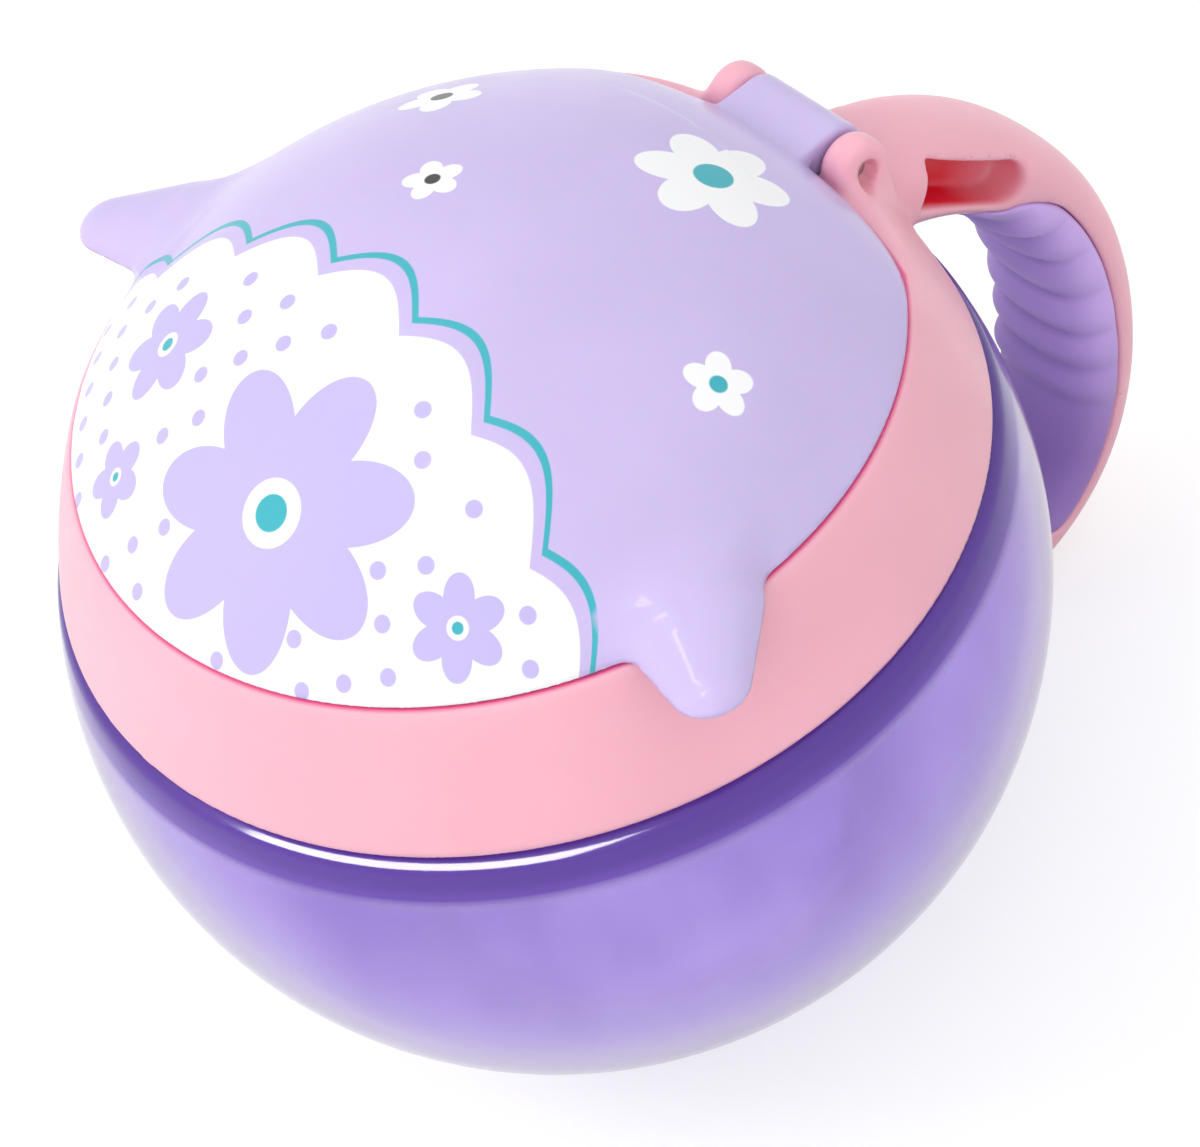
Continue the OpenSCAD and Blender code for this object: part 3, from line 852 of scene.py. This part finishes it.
def steel():
    shader = Shader("pin_look")
    grain = shader.noise(900.0)
    shader.set(Base_Color=shader.mix(grain, STEEL_DARK, STEEL_LIGHT), Metallic=1.0,
               Roughness=shader.fade(grain, 0.3, 0.7, 0.25, 0.4))
    return shader.material


def soft_silicone():
    shader = Shader("membrane_look")
    moulded(shader, linear(228, 218, 243), 0.5)
    shader.set(Subsurface_Weight=0.4, Subsurface_Scale=0.003)
    return shader.material


def tinted_clear():
    """Tinted clear plastic, deeper in the thick shoulder than in the thin wall below, with painted shade
    there for the dark inside under the collar seen through the wall.
    """
    shader = Shader("bowl_look")
    x, y, z = shader.millimetres()
    streaks = shader.nodes.new("ShaderNodeTexNoise")
    drawn = shader.nodes.new("ShaderNodeCombineXYZ")
    for socket, value in zip(drawn.inputs, (x, y, shader.math("MULTIPLY", z, 0.2))):
        shader.put(socket, value)
    shader.links.new(drawn.outputs[0], streaks.inputs["Vector"])
    streaks.inputs["Scale"].default_value = 0.07
    cloud = shader.fade(streaks.outputs["Fac"], 0.35, 0.65)
    wall = shader.mix(cloud, BOWL_MID, BOWL_PALE)
    # Deeper tint and painted shade from 58.6 mm up, which also lets less light through
    deep = shader.fade(z, *BOWL_DEEP_AND_SHADE_Z)
    shader.set(Base_Color=shader.mix(deep, wall, BOWL_DEEP_AND_SHADE))
    shader.set(Roughness=shader.fade(cloud, 0.0, 1.0, 0.09, 0.13), IOR=1.45)
    shader.set(Transmission_Weight=shader.fade(deep, 0.0, 1.0, 1.0, 0.35))
    return shader.material


LAVENDER = (0.6, 0.5, 0.83, 1.0)
PRINT_WHITE = (0.93, 0.93, 0.95, 1.0)
PRINT_TEAL = (0.03, 0.42, 0.50, 1.0)
PRINT_LAVENDER = (0.53, 0.46, 0.80, 1.0)
PRINT_DARK = (0.02, 0.02, 0.025, 1.0)
PRINT_SOFT = 0.08

# Flowers of the printed pattern: place across and along the lid, radius, petals, turn
FRONT_FLOWERS = ((8, -31, 15.5, 7, 0.2), (-19, -24, 6.5, 6, 0.5),
                 (-15, -38, 4.4, 5, 0.0), (31, -27, 5.2, 6, 0.9))
BACK_FLOWERS = ((10, 27, 8.0, 6, 0.3), (-23, 17, 4.8, 5, 0.8), (31, 9, 3.6, 5, 0.1), (-7, 5, 3.2, 5, 1.2))
SCALLOP = 13.0
SCALLOP_RISE = 3.4
SCALLOP_Y = -10.0
SCALLOP_BOW = -0.0075
TRIM_AT = 2.2
TRIM_HALF = 0.45
DOT_PITCH = 5.0
DOT_R = 0.9


def flower(shader, x, y, place):
    """Distance to the outline of a flower, and distance from its middle."""
    at_x, at_y, size, petals, turn = place
    dx, dy = shader.math("SUBTRACT", x, at_x), shader.math("SUBTRACT", y, at_y)
    away = shader.length(dx, dy)
    angle = shader.math("ADD", shader.math("ARCTAN2", dy, dx), turn)
    wave = shader.math("ABSOLUTE", shader.math("COSINE", shader.math("MULTIPLY", angle, petals / 2)))
    edge = shader.math("MULTIPLY_ADD", wave, 0.38 * size, 0.62 * size)
    return shader.math("SUBTRACT", away, edge), away


def printed_lavender():
    """Lavender plastic with a flower and dot print on the outside of the dome."""
    shader = Shader("lid_look")
    ground = moulded(shader, LAVENDER, 0.36)
    flat_x, flat_y, z = shader.millimetres()
    up = shader.math("SUBTRACT", z, DOME_Z)
    radius = shader.length(flat_x, flat_y)
    # The pattern lies on the dome without stretching: its plane is wrapped over the dome from the middle
    wrap = shader.math("DIVIDE", shader.math("MULTIPLY", shader.math("ARCTAN2", radius, up), DOME_R),
                       shader.math("MAXIMUM", radius, 0.01))
    x, y = shader.math("MULTIPLY", flat_x, wrap), shader.math("MULTIPLY", flat_y, wrap)
    scallop = shader.math("ABSOLUTE", shader.math("COSINE", shader.math("MULTIPLY", x, math.pi / SCALLOP)))
    bow = shader.math("MULTIPLY_ADD", shader.math("MULTIPLY", x, x), SCALLOP_BOW, SCALLOP_Y)
    limit = shader.math("MULTIPLY_ADD", scallop, SCALLOP_RISE, bow)
    behind = shader.math("SUBTRACT", y, limit)
    white = shader.inside(behind)
    from_trim = shader.math("ABSOLUTE", shader.math("SUBTRACT", behind, TRIM_AT))
    trim = shader.inside(shader.math("SUBTRACT", from_trim, TRIM_HALF))
    colour = shader.mix(white, ground, PRINT_WHITE)
    colour = shader.mix(trim, colour, PRINT_TEAL)

    diagonal = math.sqrt(0.5)
    u = shader.math("MULTIPLY", shader.math("ADD", x, y), diagonal)
    v = shader.math("MULTIPLY", shader.math("SUBTRACT", x, y), diagonal)
    cell_u, cell_v = (shader.math("WRAP", t, DOT_PITCH / 2, -DOT_PITCH / 2) for t in (u, v))
    dots = shader.inside(shader.math("SUBTRACT", shader.length(cell_u, cell_v), DOT_R))
    # A dot is left out whole where its middle comes near a flower or the scalloped edge
    mid_u, mid_v = shader.math("SUBTRACT", u, cell_u), shader.math("SUBTRACT", v, cell_v)
    mid_x = shader.math("MULTIPLY", shader.math("ADD", mid_u, mid_v), diagonal)
    mid_y = shader.math("MULTIPLY", shader.math("SUBTRACT", mid_u, mid_v), diagonal)
    mid_bow = shader.math("MULTIPLY_ADD", shader.math("MULTIPLY", mid_x, mid_x), SCALLOP_BOW, SCALLOP_Y)
    kept = shader.math("LESS_THAN", mid_y, shader.math("SUBTRACT", mid_bow, 1.8))
    for place in FRONT_FLOWERS:
        clear = shader.math("GREATER_THAN", flower(shader, mid_x, mid_y, place)[0], 2.0)
        kept = shader.math("MULTIPLY", kept, clear)
    colour = shader.mix(shader.math("MULTIPLY", dots, kept), colour, PRINT_LAVENDER)
    for place in FRONT_FLOWERS:
        outline, away = flower(shader, x, y, place)
        colour = shader.mix(shader.inside(outline), colour, PRINT_LAVENDER)
        for share, middle in ((0.22, PRINT_WHITE), (0.12, PRINT_TEAL)):
            spot = shader.inside(shader.math("SUBTRACT", away, share * place[2]))
            colour = shader.mix(spot, colour, middle)
    for number, place in enumerate(BACK_FLOWERS):
        outline, away = flower(shader, x, y, place)
        colour = shader.mix(shader.inside(outline), colour, PRINT_WHITE)
        middle = PRINT_TEAL if number % 2 == 0 else PRINT_DARK
        spot = shader.inside(shader.math("SUBTRACT", away, 0.26 * place[2]))
        colour = shader.mix(spot, colour, middle)

    from_centre = shader.length(radius, up)
    off_dome = shader.math("ABSOLUTE", shader.math("SUBTRACT", from_centre, DOME_R))
    skin = shader.inside(shader.math("SUBTRACT", off_dome, 0.35))
    shader.set(Base_Color=shader.mix(skin, ground, colour))
    shader.set(Subsurface_Weight=0.1, Subsurface_Scale=0.002, Coat_Weight=0.3, Coat_Roughness=0.06)
    return shader.material


# ---------------------------------------------------------------- stage


AIM = Vector((0, 0, 0.05))
LAMP_DISTANCE = 0.85
FLOOR_SIZE = 4.0
FLOOR_GREY = 0.5
FLOOR_GLOW = 0.58
WORLD_SEEN = 1.0
WORLD_LIGHT = 0.85


def make_floor():
    mesh = bpy.data.meshes.new("floor")
    half = FLOOR_SIZE / 2
    corners = [(-half, -half, 0), (half, -half, 0), (half, half, 0), (-half, half, 0)]
    mesh.from_pydata(corners, [], [(0, 1, 2, 3)])
    floor = bpy.data.objects.new("floor", mesh)
    bpy.context.scene.collection.objects.link(floor)
    shader = Shader("floor_look")
    shader.set(Base_Color=(FLOOR_GREY, FLOOR_GREY, FLOOR_GREY, 1.0), Roughness=0.9)
    paths = shader.nodes.new("ShaderNodeLightPath")
    seen = shader.math("MAXIMUM", paths.outputs["Is Camera Ray"], paths.outputs["Is Glossy Ray"])
    seen = shader.math("MAXIMUM", seen, paths.outputs["Is Transmission Ray"])
    shader.surface.inputs["Emission Color"].default_value = (1, 1, 1, 1)
    shader.put(shader.surface.inputs["Emission Strength"], shader.math("MULTIPLY", seen, FLOOR_GLOW))
    mesh.materials.append(shader.material)


def make_world():
    world = bpy.data.worlds.new("studio")
    bpy.context.scene.world = world
    world.use_nodes = True
    tree = world.node_tree
    sky = tree.nodes["Background"]
    sky.inputs["Color"].default_value = (1, 1, 1, 1)
    paths = tree.nodes.new("ShaderNodeLightPath")
    lights = tree.nodes.new("ShaderNodeMapRange")
    tree.links.new(paths.outputs["Is Diffuse Ray"], lights.inputs["Value"])
    lights.inputs["To Min"].default_value = WORLD_SEEN
    lights.inputs["To Max"].default_value = WORLD_LIGHT
    tree.links.new(lights.outputs[0], sky.inputs["Strength"])


def make_lamp(name, azimuth, elevation, size, power, diffuse=True, glossy=True):
    """An area lamp aimed at the object; azimuth runs from +X towards +Y."""
    lamp = bpy.data.lights.new(name, "AREA")
    lamp.shape = "RECTANGLE"
    lamp.size, lamp.size_y = size
    lamp.energy = power
    holder = bpy.data.objects.new(name, lamp)
    bpy.context.scene.collection.objects.link(holder)
    round_z, up = math.radians(azimuth), math.radians(elevation)
    away = Vector((math.cos(up) * math.cos(round_z), math.cos(up) * math.sin(round_z), math.sin(up)))
    holder.location = AIM + LAMP_DISTANCE * away
    holder.rotation_mode = "QUATERNION"
    holder.rotation_quaternion = away.to_track_quat("Z", "Y")
    holder.visible_diffuse = diffuse
    holder.visible_glossy = glossy
    holder.visible_transmission = diffuse
    return holder


def light_only(lamp, *pieces):
    """Keeps a lamp's light to some pieces."""
    lit = bpy.data.collections.new(lamp.name + "_lights")
    for piece in pieces:
        lit.objects.link(piece)
    lamp.light_linking.receiver_collection = lit


def make_camera():
    """The photograph's view: a long lens from above and to the right of the front, rolled to one side."""
    azimuth, elevation, roll = math.radians(64.54), math.radians(46.58), math.radians(-19.36)
    distance, target = 0.4146, Vector((0, 0, 0.0572))
    pan, tilt = math.radians(-0.61), math.radians(-1.06)
    lens, sensor = 120.0, 36.0
    back = Vector((math.sin(azimuth) * math.cos(elevation), -math.cos(azimuth) * math.cos(elevation),
                   math.sin(elevation)))
    place = target + back * distance
    right = (-back).cross(Vector((0, 0, 1))).normalized()
    up = right.cross(-back)
    turn = Matrix.Rotation(pan, 3, up)
    back, right = turn @ back, turn @ right
    nod = Matrix.Rotation(tilt, 3, right)
    back, up = nod @ back, nod @ up
    lean = Matrix.Rotation(roll, 3, back)
    right, up = lean @ right, lean @ up
    data = bpy.data.cameras.new("camera")
    data.lens, data.sensor_width = lens, sensor
    camera = bpy.data.objects.new("camera", data)
    bpy.context.scene.collection.objects.link(camera)
    camera.matrix_world = Matrix((right, up, back)).transposed().to_4x4()
    camera.location = place
    bpy.context.scene.camera = camera


make_camera()
make_world()
make_lamp("key", azimuth=-125, elevation=40, size=(0.4, 0.4), power=2.4, glossy=False)
make_lamp("fill", azimuth=-50, elevation=25, size=(0.6, 0.6), power=1.8, glossy=False)
make_lamp("back_fill", azimuth=35, elevation=35, size=(0.8, 0.8), power=0.4, glossy=False)
make_floor()
bowl = make_bowl()
softbox = make_lamp("softbox", azimuth=-75, elevation=45, size=(1.0, 0.5), power=40.0, diffuse=False)
light_only(softbox, bowl)
make_collar()
make_grip()
make_pin()
lid = make_lid()
for side, (azimuth, elevation) in {"root": (-93, 77), "tip": (-171, 67)}.items():
    strip = make_lamp(f"tab_{side}_strip", azimuth, elevation, size=(0.06, 0.2), power=0.35, diffuse=False)
    light_only(strip, lid)
make_membrane()
bpy.context.scene.view_settings.view_transform = "Standard"
